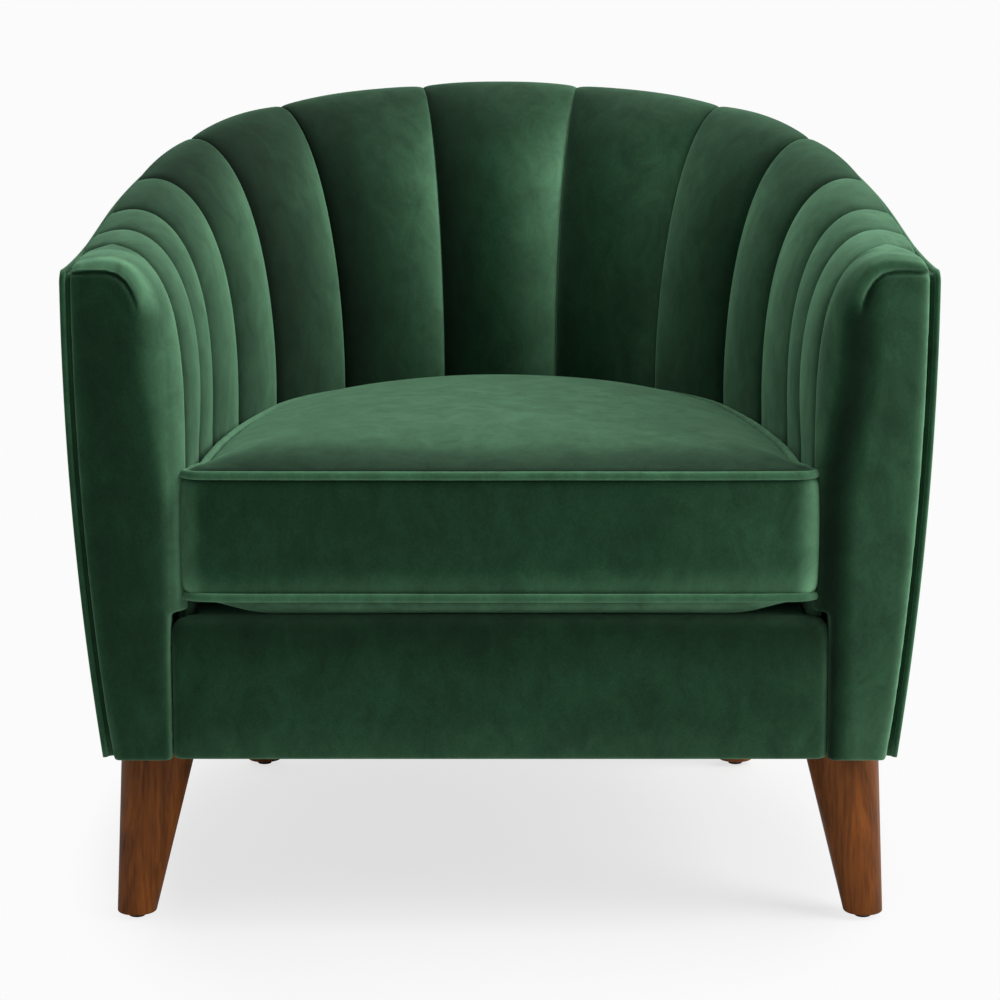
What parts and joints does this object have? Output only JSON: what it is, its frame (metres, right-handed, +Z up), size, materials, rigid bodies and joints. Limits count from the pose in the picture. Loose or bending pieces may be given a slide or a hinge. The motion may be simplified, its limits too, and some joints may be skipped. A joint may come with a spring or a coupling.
{
  "type": "lounge chair",
  "caption": "Barrel-shaped upholstered lounge chair with a channelled inside back and arms, a loose piped seat cushion and short tapered wooden legs.",
  "frame": {"origin": "on the floor under the middle of the outer box", "axes": "+Z up; the chair faces -Y; +X is to the right as seen from the front"},
  "size_m": [0.7998, 0.7202, 0.7478],
  "materials": {
    "velvet": "cut-pile velvet, deep green, soft sheen at grazing angles",
    "cushion_velvet": "cut-pile velvet, deep green, lighter where the pile leans towards the light",
    "piping": "velvet-covered cord",
    "foam": "open-cell cushion foam with wadding",
    "deck_cloth": "plain woven seat-deck cloth",
    "dust_cloth": "non-woven dust cover",
    "webbing": "woven elastic webbing",
    "frame_wood": "plain sawn hardwood and plywood",
    "board": "thin bent plywood",
    "leg_wood": "walnut-stained turned wood, satin lacquer",
    "glide_plastic": "black moulded glide",
    "zinc_steel": "zinc-plated steel",
    "zip_cloth": "woven zip tape",
    "zip_metal": "small cast slider"
  },
  "bodies": {
    "chair": {"channel_centre": "velvet", "channel_1_left": "velvet", "channel_1_right": "velvet", "channel_2_left": "velvet", "channel_2_right": "velvet", "channel_3_left": "velvet", "channel_3_right": "velvet", "channel_4_left": "velvet", "channel_4_right": "velvet", "channel_5_left": "velvet", "channel_5_right": "velvet", "channel_6_left": "velvet", "channel_6_right": "velvet", "front_rail": "frame_wood", "side_rail_left": "frame_wood", "side_rail_right": "frame_wood", "back_rail": "frame_wood", "seat_ring": "frame_wood", "arm_panel_left": "frame_wood", "arm_panel_right": "frame_wood", "arm_top_rail_left": "frame_wood", "arm_top_rail_right": "frame_wood", "back_top_rail": "frame_wood", "frame_posts": "frame_wood", "corner_blocks": "frame_wood", "arm_board_left": "board", "arm_board_right": "board", "back_board": "board", "long_webbing": "webbing", "cross_webbing": "webbing", "deck_pad": "foam", "deck_cloth": "deck_cloth", "front_border": "velvet", "dust_cover": "dust_cloth", "outside_arm_left": "velvet", "outside_arm_right": "velvet", "outside_back": "velvet", "arm_front_left": "velvet", "arm_front_right": "velvet", "outer_welt": "piping", "leg_front_left": "leg_wood", "leg_front_right": "leg_wood", "leg_rear_left": "leg_wood", "leg_rear_right": "leg_wood", "leg_glides": "glide_plastic", "leg_studs": "zinc_steel", "leg_tee_nuts": "zinc_steel", "leg_dowels": "frame_wood"},
    "seat_cushion": {"cushion_cover": "cushion_velvet", "cushion_core": "foam", "cushion_top_welt": "piping", "cushion_bottom_welt": "piping", "zip_tape": "zip_cloth"},
    "zip_slider": {"zip_slider": "zip_metal"}
  },
  "joints": [
    {"name": "cushion_lift", "type": "slide", "parent": "chair", "child": "seat_cushion", "axis": [0, 0, 1], "range_m": [0, 0.34]},
    {"name": "zip_run", "type": "hinge", "parent": "seat_cushion", "child": "zip_slider", "pos_m": [0, -0.038, 0], "axis": [0, 0, 1], "range_deg": [0, 68.9]}
  ]
}
